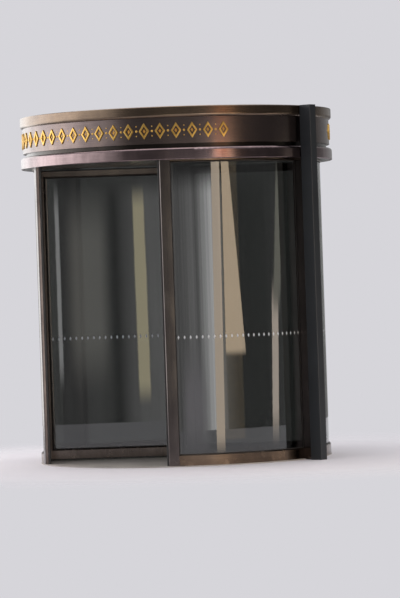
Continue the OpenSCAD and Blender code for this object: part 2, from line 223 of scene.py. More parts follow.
def tinted_glass():
    """Grey-tinted toughened glass with a reflective coating: dark in depth, with sharp reflections that
    waver a little, because the rollers of the toughening oven leave waves about 250 mm apart. Light
    passes straight through to what stands behind, and each face takes the root of the tint."""
    tint = linear("#6b6d6a")
    face_tint = [math.sqrt(channel) for channel in tint]
    material, tree, shader, place = new_material(
        "grey_toughened_glass", Base_Color=tint, Roughness=0.0, IOR=COATED_GLASS_IOR,
        Transmission_Weight=1.0)
    waves = add(tree, "ShaderNodeTexNoise", {"Vector": place, "Scale": 1 / ROLLER_WAVE, "Detail": 1.0})
    relief = add(tree, "ShaderNodeBump", {"Height": waves.outputs["Fac"], "Strength": 0.3,
                                         "Distance": ROLLER_WAVE_DEPTH})
    tree.links.new(relief.outputs["Normal"], shader.inputs["Normal"])
    ray = add(tree, "ShaderNodeLightPath")
    clear = add(tree, "ShaderNodeBsdfTransparent", {"Color": face_tint})
    surface = add(tree, "ShaderNodeMixShader", {0: ray.outputs["Is Shadow Ray"],
                                               1: shader.outputs["BSDF"], 2: clear.outputs["BSDF"]})
    tree.links.new(surface.outputs["Shader"], tree.nodes["Material Output"].inputs["Surface"])
    return material


DUST_GRAIN = 90 * MM


def gasket_rubber():
    """Extruded EPDM rubber: near black, dull, with a faint bloom and dust in patches."""
    material, tree, shader, place = new_material("epdm_rubber", IOR=1.5)
    dust = add(tree, "ShaderNodeTexNoise", {"Vector": place, "Scale": 1 / DUST_GRAIN, "Detail": 6.0})
    tone = add(tree, "ShaderNodeMix", {FACTOR: dust.outputs["Fac"], COLOUR_A: linear("#141312"),
                                      COLOUR_B: linear("#34312f")}, data_type="RGBA")
    dull = add(tree, "ShaderNodeMapRange", {"Value": dust.outputs["Fac"], "To Min": 0.5, "To Max": 0.75})
    tree.links.new(tone.outputs[COLOUR_OUT], shader.inputs["Base Color"])
    tree.links.new(dull.outputs["Result"], shader.inputs["Roughness"])
    return material


# Bristles are 0.2 mm thick and are drawn 2.5 mm wide and 1/60 m long so that they show
STRAND_W = 2.5 * MM
STRAND_LENGTH = 1 / 60


def brush_nylon():
    """Nylon bristle: black and dark grey strands, with a small sheen along them."""
    material, tree, shader, place = new_material("nylon_bristle", IOR=1.53, Roughness=0.5,
                                                 Sheen_Weight=0.2)
    strands_place = add(tree, "ShaderNodeMapping", {
        "Vector": place, "Scale": (1 / STRAND_W, 1 / STRAND_W, 1 / STRAND_LENGTH)})
    strands = add(tree, "ShaderNodeTexNoise", {"Vector": strands_place.outputs["Vector"], "Scale": 1.0})
    tone = add(tree, "ShaderNodeMix", {FACTOR: strands.outputs["Fac"], COLOUR_A: linear("#0e0d0d"),
                                      COLOUR_B: linear("#3a3836")}, data_type="RGBA")
    tree.links.new(tone.outputs[COLOUR_OUT], shader.inputs["Base Color"])
    return material


WEATHER_PATCH = 600 * MM
# The real orange peel is 1 to 2 mm across and is drawn 6 mm across so that it shows
PEEL_GRAIN = 6 * MM
PEEL_DEPTH = 0.3 * MM


def powder_coat():
    """Steel facade post in dark blue-grey polyester powder coat: a fine orange peel softens its shine."""
    material, tree, shader, place = new_material("polyester_powder_coat", IOR=1.5)
    weather = add(tree, "ShaderNodeTexNoise", {"Vector": place, "Scale": 1 / WEATHER_PATCH, "Detail": 5.0})
    tone = add(tree, "ShaderNodeMix", {FACTOR: weather.outputs["Fac"], COLOUR_A: linear("#16191c"),
                                      COLOUR_B: linear("#25292e")}, data_type="RGBA")
    peel = add(tree, "ShaderNodeTexNoise", {"Vector": place, "Scale": 1 / PEEL_GRAIN, "Detail": 1.0})
    relief = add(tree, "ShaderNodeBump", {"Height": peel.outputs["Fac"], "Strength": 0.3,
                                         "Distance": PEEL_DEPTH})
    dull = add(tree, "ShaderNodeMapRange", {"Value": weather.outputs["Fac"], "To Min": 0.3, "To Max": 0.5})
    tree.links.new(tone.outputs[COLOUR_OUT], shader.inputs["Base Color"])
    tree.links.new(dull.outputs["Result"], shader.inputs["Roughness"])
    tree.links.new(relief.outputs["Normal"], shader.inputs["Normal"])
    return material


RAIN_MARK = 500 * MM
# Distances from the origin, which is 3.7 m below the roof's middle and 4.1 m from its lip
ROOF_DIRT_STARTS = 3.4
ROOF_DIRT_FULL = 4.0


def roof_sheet():
    """Grey coated roof sheet with rain marks and settled dust, thicker towards its lip."""
    material, tree, shader, place = new_material("weathered_roof_sheet", IOR=1.5)
    marks = add(tree, "ShaderNodeTexNoise", {"Vector": place, "Scale": 1 / RAIN_MARK, "Detail": 8.0,
                                            "Roughness": 0.65})
    distance = add(tree, "ShaderNodeVectorMath", {0: place}, operation="LENGTH")
    edge = add(tree, "ShaderNodeMapRange", {"Value": distance.outputs["Value"],
                                           "From Min": ROOF_DIRT_STARTS, "From Max": ROOF_DIRT_FULL,
                                           "To Min": -0.1, "To Max": 0.35})
    dirt = add(tree, "ShaderNodeMath", {0: marks.outputs["Fac"], 1: edge.outputs["Result"]},
               operation="ADD")
    tone = add(tree, "ShaderNodeMix", {FACTOR: dirt.outputs["Value"], COLOUR_A: linear("#3a3d40"),
                                      COLOUR_B: linear("#77746d")}, data_type="RGBA")
    dull = add(tree, "ShaderNodeMapRange", {"Value": dirt.outputs["Value"], "To Min": 0.4, "To Max": 0.85})
    tree.links.new(tone.outputs[COLOUR_OUT], shader.inputs["Base Color"])
    tree.links.new(dull.outputs["Result"], shader.inputs["Roughness"])
    return material


# The lathe tool's rings are 0.3 mm apart and are drawn 1.9 mm apart so that they show: a wave texture
# makes a ring each pi / 10 of its unit
RING_UNIT = 6 * MM


def turned_steel():
    """Turned stainless steel of the bearings and screws: fine rings from the lathe tool round the axis."""
    material, tree, shader, place = new_material("turned_stainless_steel", Metallic=1.0)
    rings = add(tree, "ShaderNodeTexWave", {"Vector": place, "Scale": 1 / RING_UNIT, "Distortion": 0.4},
                wave_type="RINGS", rings_direction="Z")
    tone = add(tree, "ShaderNodeMix", {FACTOR: rings.outputs["Fac"], COLOUR_A: linear("#77797a"),
                                      COLOUR_B: linear("#a3a5a6")}, data_type="RGBA")
    dull = add(tree, "ShaderNodeMapRange", {"Value": rings.outputs["Fac"], "To Min": 0.25, "To Max": 0.4})
    tree.links.new(tone.outputs[COLOUR_OUT], shader.inputs["Base Color"])
    tree.links.new(dull.outputs["Result"], shader.inputs["Roughness"])
    return material


STONE_CLOUD = 300 * MM
# The stone's grains are 2 mm across and are drawn 7 mm across so that they show
STONE_GRAIN = 7 * MM


def honed_limestone():
    """Honed limestone floor: pale warm grey, clouded, with fine darker grains."""
    material, tree, shader, place = new_material("honed_limestone", IOR=1.5, Roughness=0.55)
    clouds = add(tree, "ShaderNodeTexNoise", {"Vector": place, "Scale": 1 / STONE_CLOUD, "Detail": 6.0})
    grains = add(tree, "ShaderNodeTexVoronoi", {"Vector": place, "Scale": 1 / STONE_GRAIN})
    base = add(tree, "ShaderNodeMix", {FACTOR: clouds.outputs["Fac"], COLOUR_A: linear("#8f8b86"),
                                      COLOUR_B: linear("#b9b4ae")}, data_type="RGBA")
    speck = add(tree, "ShaderNodeMapRange", {"Value": grains.outputs["Distance"], "From Max": 0.6,
                                            "To Min": 0.35, "To Max": 0.0})
    tone = add(tree, "ShaderNodeMix", {FACTOR: speck.outputs["Result"],
                                      COLOUR_A: base.outputs[COLOUR_OUT], COLOUR_B: linear("#6f6a64")},
               data_type="RGBA")
    tree.links.new(tone.outputs[COLOUR_OUT], shader.inputs["Base Color"])
    return material


FILM_CLOUD = 20 * MM


def frosted_film():
    """Etched-look vinyl film on glass: white, satin, a little uneven."""
    material, tree, shader, place = new_material("frosted_vinyl_film", IOR=1.45)
    cloud = add(tree, "ShaderNodeTexNoise", {"Vector": place, "Scale": 1 / FILM_CLOUD, "Detail": 3.0})
    tone = add(tree, "ShaderNodeMix", {FACTOR: cloud.outputs["Fac"], COLOUR_A: linear("#a9aeb3"),
                                      COLOUR_B: linear("#d3d7da")}, data_type="RGBA")
    dull = add(tree, "ShaderNodeMapRange", {"Value": cloud.outputs["Fac"], "To Min": 0.45, "To Max": 0.65})
    tree.links.new(tone.outputs[COLOUR_OUT], shader.inputs["Base Color"])
    tree.links.new(dull.outputs["Result"], shader.inputs["Roughness"])
    return material


# One bronze in several tones by part: the mauve of the panel and the pink of the lower band are painted
# reflection of pale lilac light, and the darker, greyer posts are painted shade
BRONZE_TOP = satin_bronze("waxed_bronze_top_band", False, "#66564a", "#7d6a58", "#9c866f", 0.3)
BRONZE_PANEL = satin_bronze("waxed_bronze_panel", False, "#5f5352", "#756660", "#91807a", 0.3)
BRONZE_BAND = satin_bronze("waxed_bronze_lower_band", False, "#6b5b5c", "#857273", "#a08d8f", 0.3,
                           dullest=0.19)
BRONZE_RAILS = satin_bronze("rubbed_bronze_rails", False, "#56483c", "#6d5b4b", "#927d69", 0.3)
BRONZE_POSTS = satin_bronze("waxed_bronze_posts", True, "#484140", "#5d5552", "#7d7471", 0.25)
BRONZE_LEAVES = satin_bronze("waxed_bronze_leaves", True, "#574e4a", "#706660", "#958981", 0.25)
# Near-black bronze for the ceiling plate and for the carrier seen in the groove under the panel: painted
# shade under the canopy and in the groove
BRONZE_PAINTED_SHADE = satin_bronze("dark_bronze_painted_shade", False, "#26211e", "#332c28", "#443b35", 0.3)
GILT = gilt_bronze()
GLASS = tinted_glass()
RUBBER = gasket_rubber()
NYLON = brush_nylon()
POWDER = powder_coat()
ROOF = roof_sheet()
STEEL = turned_steel()
STONE = honed_limestone()
FROSTED = frosted_film()


def dress(node, material):
    """Gives a CAD node its finish through its material slots."""
    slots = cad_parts[node].data.materials
    slots.clear()
    slots.append(material)


def dress_frame():
    """Puts a finish on every CAD node: the first ending that fits its name gives it."""
    finishes = [
        ("_glass", GLASS), ("_sill", BRONZE_RAILS), ("_head", BRONZE_RAILS), ("_jamb", BRONZE_POSTS),
        ("_facade_post", POWDER), ("_post", BRONZE_POSTS), ("_safety_edges", RUBBER),
        ("fascia_lower_band", BRONZE_BAND), ("fascia_panel", BRONZE_PANEL),
        ("fascia_top_band", BRONZE_TOP), ("ceiling_plate", BRONZE_PAINTED_SHADE), ("canopy_roof", ROOF),
        ("canopy_carrier", BRONZE_PAINTED_SHADE), ("centre_shaft", BRONZE_LEAVES), ("_hub", BRONZE_RAILS),
        ("_frame", BRONZE_LEAVES), ("_brushes", NYLON), ("_bearing", STEEL), ("floor_plate", STONE),
    ]
    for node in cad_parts:
        dress(node, next(material for ending, material in finishes if node.endswith(ending)))


dress_frame()


# Points nearer than this are one point, and edges that turn more than this are drawn sharp
WELD = 0.01 * MM
SHARP_EDGE = math.radians(35)


def add_piece(name, bm, material, body):
    """Turns a bmesh into a piece of the door with its finish and the body that it rides on."""
    bmesh.ops.remove_doubles(bm, verts=bm.verts, dist=WELD)
    bmesh.ops.recalc_face_normals(bm, faces=bm.faces)
    mesh = bpy.data.meshes.new(name)
    bm.to_mesh(mesh)
    bm.free()
    mesh.materials.append(material)
    mesh.shade_smooth()
    mesh.set_sharp_from_angle(angle=SHARP_EDGE)
    piece = bpy.data.objects.new(name, mesh)
    bpy.context.scene.collection.objects.link(piece)
    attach(piece, body)
    return piece


def points_of(made):
    """The points among what an operator made."""
    return [item for item in made["geom"] if isinstance(item, bmesh.types.BMVert)]


def add_box(bm, low, high):
    """Adds a box between two corners and returns its vertices."""
    low, high = Vector(low), Vector(high)
    size = Matrix.Diagonal((*(high - low), 1.0))
    made = bmesh.ops.create_cube(bm, size=1.0, matrix=Matrix.Translation((low + high) / 2) @ size)
    return made["verts"]


def copy_in(bm, part, move):
    """Adds a copy of a finished bmesh, with each point moved by a function."""
    mesh = bpy.data.meshes.new("part")
    part.to_mesh(mesh)
    first = len(bm.verts)
    bm.from_mesh(mesh)
    bpy.data.meshes.remove(mesh)
    bm.verts.ensure_lookup_table()
    for vert in bm.verts[first:]:
        vert.co = move(vert.co)


def round_bend(point, radius, turn, side=1):
    """Bends a point drawn on the XZ plane round the axis at a radius, from an angle in plan; the plane's
    -Y is outwards, or inwards where side is -1."""
    angle = turn + point.x / radius
    out = radius - side * point.y
    return Vector((math.sin(angle) * out, -math.cos(angle) * out, point.z))


EASE_SEGMENTS = 2
EASED_FROM = math.radians(40)


def ease_edges(bm, edges, width):
    """Rounds edges to a width."""
    bmesh.ops.bevel(bm, geom=list(edges), offset=width, segments=EASE_SEGMENTS, profile=0.5, affect="EDGES",
                    material=-1)


def ease_rim(bm, faces, width):
    """Rounds the edges of these faces where the surface turns sharply, taken in the mesh's own order."""
    bm.normal_update()
    rim = {edge for face in faces for edge in face.edges}
    sharp = [edge for edge in bm.edges if edge in rim and edge.calc_face_angle(0.0) > EASED_FROM]
    ease_edges(bm, sharp, width)


def raise_ring(bm, faces, bar, depth, ease):
    """Turns flat faces on the XZ plane into a raised ring of one bar's width, mitred at its corners."""
    made = bmesh.ops.inset_region(bm, faces=faces, thickness=bar, use_boundary=True, use_even_offset=True)
    rim = made["faces"]
    bmesh.ops.delete(bm, geom=faces, context="FACES")
    made = bmesh.ops.extrude_face_region(bm, geom=rim)
    bmesh.ops.translate(bm, vec=(0, -depth, 0), verts=points_of(made))
    bmesh.ops.recalc_face_normals(bm, faces=bm.faces)
    ease_rim(bm, [item for item in made["geom"] if isinstance(item, bmesh.types.BMFace)], ease)


GASKET_W = 5 * MM
GASKET_H = 9 * MM
GASKET_EASE = 1.2 * MM
BEND_STEP = math.radians(2)


def flat_gasket(width, height, columns=1):
    """A glazing gasket as a mitred frame on the XZ plane, from the origin to its width and height."""
    bm = bmesh.new()
    stand = (Matrix.Translation((width / 2, 0, height / 2)) @ Matrix.Rotation(math.pi / 2, 4, "X")
             @ Matrix.Diagonal((width, height, 1.0, 1.0)))
    bmesh.ops.create_grid(bm, x_segments=columns, y_segments=1, size=0.5, matrix=stand)
    raise_ring(bm, list(bm.faces), GASKET_H, GASKET_W, GASKET_EASE)
    return bm


def mirror_to_quarter(bm, signs):
    """Moves what was made in the right street quarter to another quarter."""
    bmesh.ops.scale(bm, vec=(signs[0], signs[1], 1.0), verts=bm.verts)


def wall_span(signs):
    """First and last angle of a quarter's bare pane, as if it were the right street quarter."""
    start = ENTRY_HALF + POST_W / DRUM_R
    stop_y = FACADE_FACE_Y if signs[1] > 0 else -FACADE_BACK_Y
    return start, math.pi / 2 + math.asin(stop_y / WALL_MID_R)


def make_wall_gaskets(quarter, signs):
    """Glazing gaskets of a curved pane: along the sill, the head, the post and the jamb, on both faces."""
    bm = bmesh.new()
    start, end = wall_span(signs)
    columns = round((end - start) / BEND_STEP)
    for side in (1, -1):
        radius = WALL_MID_R + side * GLASS_T / 2
        ring = flat_gasket((end - start) * radius, HEAD_Z - SILL_Z, columns)
        copy_in(bm, ring, lambda point: round_bend(point + Vector((0, 0, SILL_Z)), radius, start, side))
        ring.free()
    mirror_to_quarter(bm, signs)
    add_piece(f"{quarter}_gaskets", bm, RUBBER, "drum")


def leaf_place(number):
    """Turns a leaf piece, drawn along +X, to its place round the shaft."""
    return Matrix.Rotation(LEAF_REST - math.pi / 2 + (number - 1) * 2 * math.pi / LEAF_COUNT, 4, "Z")


def leaf_light():
    """The bare pane of a leaf: its (radius, height) corners."""
    return ((LEAF_R[0] + STILE_W, LEAF_Z[0] + BOTTOM_RAIL_H), (LEAF_R[1] - STILE_W, LEAF_Z[1] - TOP_RAIL_H))


def make_leaf_gaskets(number):
    """The gasket frame round a leaf's pane, on both faces."""
    bm = bmesh.new()
    (x0, z0), (x1, z1) = leaf_light()
    ring = flat_gasket(x1 - x0, z1 - z0)
    for side in (1, -1):
        copy_in(bm, ring, lambda point: Vector((x0 + point.x, side * (point.y - GLASS_T / 2), z0 + point.z)))
    ring.free()
    bmesh.ops.transform(bm, matrix=leaf_place(number), verts=bm.verts)
    add_piece(f"leaf_{number}_gaskets", bm, RUBBER, "rotor")


TUFT_PITCH = 5 * MM
TUFT_W = 4.2 * MM
TUFT_T = 3.6 * MM
TUFT_TIP = 0.7
TUFT_LEAN = 0.9 * MM
ROW_PLACE = TUFT_T * 0.6
HOLDER_H = 4 * MM
HOLDER_T = 12 * MM
HOLDER_EASE = 0.8 * MM


def tuft_row(length, height, y, rng):
    """A row of tapered tufts along X at one y that reach up Z, each leaning a little its own way."""
    bm = bmesh.new()
    count = int(length / TUFT_PITCH)
    pitch = length / count
    verts = add_box(bm, (-TUFT_W / 2, y - TUFT_T / 2, HOLDER_H / 2), (TUFT_W / 2, y + TUFT_T / 2, height))
    tips = [vert for vert in verts if vert.co.z > height / 2]
    bmesh.ops.scale(bm, vec=(TUFT_TIP, TUFT_TIP, 1), space=Matrix.Translation((0, -y, 0)), verts=tips)
    bmesh.ops.translate(bm, vec=(pitch / 2, 0, 0), verts=verts)
    bmesh.ops.spin(bm, geom=list(bm.verts) + list(bm.edges) + list(bm.faces), cent=(0, 0, 0),
                   axis=(0, 0, 1), dvec=(pitch, 0, 0), angle=0.0, steps=count - 1, use_duplicate=True)
    leans = [(rng.uniform(-TUFT_LEAN, TUFT_LEAN), rng.uniform(-TUFT_LEAN, TUFT_LEAN) / 2)
             for _ in range(count)]
    for vert in bm.verts:
        if vert.co.z > height / 2:
            lean = leans[min(int(vert.co.x / pitch), count - 1)]
            vert.co += Vector((lean[0], lean[1], 0))
    return bm


def make_brush_run(bm, start, end, height, rng):
    """One brush seal along the line from start to end: a pressed holder and two rows of tapered tufts.
    The run's own X is along the line and its Z is the way the tufts reach."""
    start, end = Vector(start), Vector(end)
    along = (end - start).normalized()
    reach = along.cross(Vector((0, 1, 0)))
    place = Matrix.Translation(start) @ Matrix((along, (0, 1, 0), reach)).transposed().to_4x4()
    length = (end - start).length
    holder = bmesh.new()
    add_box(holder, (0, -HOLDER_T / 2, 0), (length, HOLDER_T / 2, HOLDER_H))
    ease_edges(holder, holder.edges, HOLDER_EASE)
    rows = [tuft_row(length, height, side * ROW_PLACE, rng) for side in (1, -1)]
    for part in (holder, *rows):
        copy_in(bm, part, lambda point: place @ point)
        part.free()


def make_leaf_brushes(number):
    """Brush seals along the bottom rail, the outer stile and the top rail of a leaf."""
    bm = bmesh.new()
    rng = random.Random(number)
    make_brush_run(bm, (LEAF_R[1], 0, LEAF_Z[0]), (BRUSH_R[0], 0, LEAF_Z[0]), LEAF_Z[0] - BRUSH_Z[0], rng)
    make_brush_run(bm, (LEAF_R[1], 0, LEAF_Z[1]), (LEAF_R[1], 0, LEAF_Z[0]), BRUSH_R[1] - LEAF_R[1], rng)
    make_brush_run(bm, (BRUSH_R[0], 0, LEAF_Z[1]), (LEAF_R[1], 0, LEAF_Z[1]), BRUSH_Z[1] - LEAF_Z[1], rng)
    bmesh.ops.transform(bm, matrix=leaf_place(number), verts=bm.verts)
    piece = add_piece(f"leaf_{number}_bristles", bm, NYLON, "rotor")
    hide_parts(f"leaf_{number}_brushes")


SCREW_R = 5 * MM
SCREW_TOP_R = SCREW_R * 0.92
SCREW_SIDES = 18
SCREW_H = 2.5 * MM
SOCKET_RIM = SCREW_R * 0.42
SOCKET_DEPTH = SCREW_H * 0.6
SCREW_CIRCLE = 84 * MM
# Angle from the middle between two leaves to each of the two screws there
SCREW_SPREAD = math.radians(16)


def screw_head():
    """A flat screw head with a round socket, on the XY plane with its top upwards."""
    bm = bmesh.new()
    bmesh.ops.create_cone(bm, cap_ends=True, segments=SCREW_SIDES, radius1=SCREW_R, radius2=SCREW_TOP_R,
                          depth=SCREW_H, matrix=Matrix.Translation((0, 0, SCREW_H / 2)))
    bm.normal_update()
    top = [max(bm.faces, key=lambda face: face.normal.z)]
    bmesh.ops.inset_region(bm, faces=top, thickness=SOCKET_RIM, use_even_offset=True)
    made = bmesh.ops.extrude_face_region(bm, geom=top)
    bmesh.ops.delete(bm, geom=top, context="FACES")
    bmesh.ops.translate(bm, vec=(0, 0, -SOCKET_DEPTH), verts=points_of(made))
    return bm


def make_hub_screws():
    """Clamp screws on the open faces of the two hub discs, in pairs between the leaves."""
    bm = bmesh.new()
    head = screw_head()
    for leaf in range(LEAF_COUNT):
        middle = LEAF_REST + (leaf + 0.5) * 2 * math.pi / LEAF_COUNT
        for side in (-1, 1):
            turn = middle + side * SCREW_SPREAD
            at = Vector((math.sin(turn) * SCREW_CIRCLE, -math.cos(turn) * SCREW_CIRCLE, 0))
            copy_in(bm, head, lambda point: at + Vector((point.x, point.y, LEAF_Z[0] + point.z)))
            copy_in(bm, head, lambda point: at + Vector((point.x, point.y, LEAF_Z[1] - point.z)))
    head.free()
    add_piece("hub_screws", bm, STEEL, "rotor")


FRIEZE_HALF = math.radians(62)
LOZENGE_H = 168 * MM
LOZENGE_W = 108 * MM
LOZENGE_BAR = 19 * MM
LOZENGE_EASE = 4 * MM
FRIEZE_RAISE = 11 * MM
FRIEZE_SINK = 2 * MM
FRIEZE_PITCH = 166 * MM
# The boss's foot as a share of the lozenge, and its flat top as a share of its foot
BOSS_SHARE = 0.34
BOSS_TOP = 0.24
STUD_R = 13 * MM
SMALL_STUD_R = STUD_R * 0.55
STUD_FLAT = 0.6
STUD_SIDES = 16
SIDE_STUD_Z = 50 * MM


def lozenge_stand(width, height):
    """Stands a unit shape from the XY plane up on the XZ plane, at a width and a height."""
    return Matrix.Diagonal((width, 1, height, 1)) @ Matrix.Rotation(math.pi / 2, 4, "X")


def raised_lozenge():
    """A raised lozenge frame on the XZ plane with eased bars and a faceted boss in its middle."""
    bm = bmesh.new()
    bmesh.ops.create_circle(bm, cap_ends=True, segments=4, radius=0.5,
                            matrix=lozenge_stand(LOZENGE_W, LOZENGE_H))
    raise_ring(bm, list(bm.faces), LOZENGE_BAR, FRIEZE_RAISE + FRIEZE_SINK, LOZENGE_EASE)
    boss = lozenge_stand(LOZENGE_W * BOSS_SHARE, LOZENGE_H * BOSS_SHARE)
    bmesh.ops.create_cone(bm, cap_ends=True, segments=4, radius1=0.5, radius2=0.5 * BOSS_TOP,
                          depth=FRIEZE_RAISE, matrix=Matrix.Translation((0, -FRIEZE_RAISE / 2, 0)) @ boss)
    return bm


def stud(radius):
    """A low round stud centred on the XZ plane, so that half of it stands out."""
    bm = bmesh.new()
    bmesh.ops.create_uvsphere(bm, u_segments=STUD_SIDES, v_segments=STUD_SIDES // 2, radius=radius,
                              matrix=Matrix.Diagonal((1, STUD_FLAT, 1, 1)))
    return bm


def make_frieze(name, middle):
    """Gilt lozenges and studs along the recessed band, on one side of the canopy. Their odd count sets a
    lozenge in the middle."""
    bm = bmesh.new()
    count = int(2 * FRIEZE_HALF * PANEL_R / FRIEZE_PITCH) // 2 * 2 + 1
    step = FRIEZE_PITCH / PANEL_R
    mid_z = sum(PANEL_Z) / 2
    lozenge, large, small = raised_lozenge(), stud(STUD_R), stud(SMALL_STUD_R)
    half = FRIEZE_PITCH / 2
    gap_studs = [(large, half, 0), (small, half, SIDE_STUD_Z), (small, half, -SIDE_STUD_Z)]
    for number in range(count):
        turn = middle + (number - (count - 1) / 2) * step
        for part, x, z in [(lozenge, 0, 0)] + (gap_studs if number < count - 1 else []):
            shift = Vector((x, FRIEZE_SINK, mid_z + z))
            copy_in(bm, part, lambda point: round_bend(point + shift, PANEL_R, turn))
    for part in (lozenge, large, small):
        part.free()
    add_piece(name, bm, GILT, "drum")


MARK_Z = 1.34
MARK_H = 42 * MM
MARK_W = 22 * MM
MARK_PITCH = 60 * MM
MARK_T = 0.5 * MM


def film_mark():
    """A small frosted lozenge of film on the XZ plane."""
    bm = bmesh.new()
    bmesh.ops.create_circle(bm, cap_ends=True, segments=4, radius=0.5, matrix=lozenge_stand(MARK_W, MARK_H))
    made = bmesh.ops.extrude_face_region(bm, geom=list(bm.faces))
    bmesh.ops.translate(bm, vec=(0, -MARK_T, 0), verts=points_of(made))
    return bm


def make_wall_marks(quarter, signs):
    """A row of frosted marks, a little below eye level, on the outer face of a curved pane."""
    bm = bmesh.new()
    mark = film_mark()
    start, end = wall_span(signs)
    radius = WALL_MID_R + GLASS_T / 2
    count = int((end - start) * radius / MARK_PITCH) - 1
    step = (end - start) / count
    up = Vector((0, 0, MARK_Z))
    for number in range(count):
        turn = start + (number + 0.5) * step
        copy_in(bm, mark, lambda point: round_bend(point + up, radius, turn))
    mark.free()
    mirror_to_quarter(bm, signs)
    add_piece(f"{quarter}_marks", bm, FROSTED, "drum")


def make_leaf_marks(number):
    """A row of frosted marks, a little below eye level, on one face of a leaf's pane."""
    bm = bmesh.new()
    mark = film_mark()
    (x0, _), (x1, _) = leaf_light()
    count = int((x1 - x0) / MARK_PITCH) - 1
    step = (x1 - x0) / count
    for index in range(count):
        at = Vector((x0 + (index + 0.5) * step, GLASS_T / 2, MARK_Z))
        copy_in(bm, mark, lambda point: at + Vector((point.x, -point.y, point.z)))
    mark.free()
    bmesh.ops.transform(bm, matrix=leaf_place(number), verts=bm.verts)
    add_piece(f"leaf_{number}_marks", bm, FROSTED, "rotor")


for quarter, signs in QUARTERS.items():
    make_wall_gaskets(quarter, signs)
    make_wall_marks(quarter, signs)
for number in range(1, LEAF_COUNT + 1):
    make_leaf_gaskets(number)
    make_leaf_brushes(number)
    make_leaf_marks(number)
make_hub_screws()
make_frieze("street_frieze", 0.0)
make_frieze("lobby_frieze", math.pi)


# Camera, as fitted to the photograph's frame: it stands 40 degrees to the right of the street side, and
# its pan, pitch and roll are in radians
CAMERA_AT = (21.362, -25.458, 1.938)
CAMERA_SIDE = math.radians(40)
CAMERA_PAN = -0.0061
CAMERA_PITCH = -0.0065
CAMERA_ROLL = 0.0338
CAMERA_LENS = 184.33
CAMERA_REACH = 200.0


def make_camera():
    """The camera, almost level, on the right of the street side."""
    data = bpy.data.cameras.new("camera")
    data.lens = CAMERA_LENS
    data.clip_end = CAMERA_REACH
    camera = bpy.data.objects.new("camera", data)
    camera.matrix_world = (
        Matrix.Translation(CAMERA_AT)
        @ Matrix.Rotation(CAMERA_SIDE + CAMERA_PAN, 4, "Z")
        @ Matrix.Rotation(math.pi / 2 + CAMERA_PITCH, 4, "X")
        @ Matrix.Rotation(-CAMERA_ROLL, 4, "Z")
    )
    bpy.context.scene.collection.objects.link(camera)
    bpy.context.scene.camera = camera


STUDIO_FLOOR_R = 12.0
STUDIO_FLOOR_SIDES = 128
# Radii where the floor starts to fade and where it has gone
STUDIO_FLOOR_FADE = (1.9, 5.0)
BACKGROUND = "#d6d5da"
WORLD_LIGHT = 0.85


def make_floor():
    """A plain pale floor that fades into the background a little way from the door."""
    bm = bmesh.new()
    bmesh.ops.create_circle(bm, cap_ends=True, segments=STUDIO_FLOOR_SIDES, radius=STUDIO_FLOOR_R)
    mesh = bpy.data.meshes.new("studio_floor")
    bm.to_mesh(mesh)
    bm.free()
    floor = bpy.data.objects.new("studio_floor", mesh)
    bpy.context.scene.collection.objects.link(floor)
    material, tree, shader, place = new_material(
        "matt_studio_floor", Base_Color=linear("#dddbe0"), Roughness=0.9)
    radius = add(tree, "ShaderNodeVectorMath", {0: place}, operation="LENGTH")
    fade = add(tree, "ShaderNodeMapRange", {"Value": radius.outputs["Value"],
                                           "From Min": STUDIO_FLOOR_FADE[0],
                                           "From Max": STUDIO_FLOOR_FADE[1]},
               interpolation_type="SMOOTHSTEP")
    nothing = add(tree, "ShaderNodeBsdfTransparent")
    surface = add(tree, "ShaderNodeMixShader", {0: fade.outputs["Result"], 1: shader.outputs["BSDF"],
                                               2: nothing.outputs["BSDF"]})
    tree.links.new(surface.outputs["Shader"], tree.nodes["Material Output"].inputs["Surface"])
    mesh.materials.append(material)


def make_world():
    """A soft even light, and the pale background at its plain level where the camera, metal or glass
    looks at it."""
    world = bpy.data.worlds.new("studio")
    world.use_nodes = True
    tree = world.node_tree
    ray = add(tree, "ShaderNodeLightPath").outputs
    seen = add(tree, "ShaderNodeMath", {0: ray["Is Camera Ray"], 1: ray["Is Glossy Ray"]},
               operation="MAXIMUM")
    seen = add(tree, "ShaderNodeMath", {0: seen.outputs["Value"], 1: ray["Is Transmission Ray"]},
               operation="MAXIMUM")
    strength = add(tree, "ShaderNodeMapRange", {"Value": seen.outputs["Value"], "To Min": WORLD_LIGHT,
                                               "To Max": 1.0})
    background = tree.nodes["Background"]
    background.inputs["Color"].default_value = linear(BACKGROUND)
    tree.links.new(strength.outputs["Result"], background.inputs["Strength"])
    bpy.context.scene.world = world


def lamp_power(radiance, width, height):
    """The watts that give an area lamp of this size its radiance."""
    return radiance * math.pi * width * height


def make_softbox(name, turn, distance, middle_z, size, radiance, colour):
    """A rectangular soft lamp that stands at an angle in plan and faces the turning axis. Metal and
    glass see the light wall in its place."""
    data = bpy.data.lights.new(name, "AREA")
    data.shape = "RECTANGLE"
    data.size, data.size_y = size
    data.energy = lamp_power(radiance, *size)
    data.color = linear(colour)[:3]
    lamp = bpy.data.objects.new(name, data)
    at = Vector((math.sin(turn) * distance, -math.cos(turn) * distance, middle_z))
    aim = Vector((0, 0, middle_z)) - at
    lamp.matrix_world = Matrix.Translation(at) @ aim.to_track_quat("-Z", "Y").to_matrix().to_4x4()
    lamp.visible_camera = False
    lamp.visible_glossy = False
    bpy.context.scene.collection.objects.link(lamp)


LIGHT_WALL_R = 9.0
LIGHT_WALL_H = 7.5
LIGHT_WALL_SIDES = 144
LIGHT_WALL_PEAK = 3.2
# Angle in plan in degrees and the share of the peak level, all the way round: what the canopy sees
HIGH_STOPS = (
    (-180, 0.10), (-150, 0.12), (-125, 0.30), (-108, 0.50), (-82, 0.90), (-58, 1.0), (-40, 1.0),
    (-29, 0.62), (-16, 0.42), (-5, 0.34), (5, 0.05), (24, 0.045), (40, 0.04), (55, 0.03), (66, 0.02),
    (76, 0.025), (92, 0.035), (112, 0.02), (124, 0.03), (145, 0.02), (180, 0.10),
)
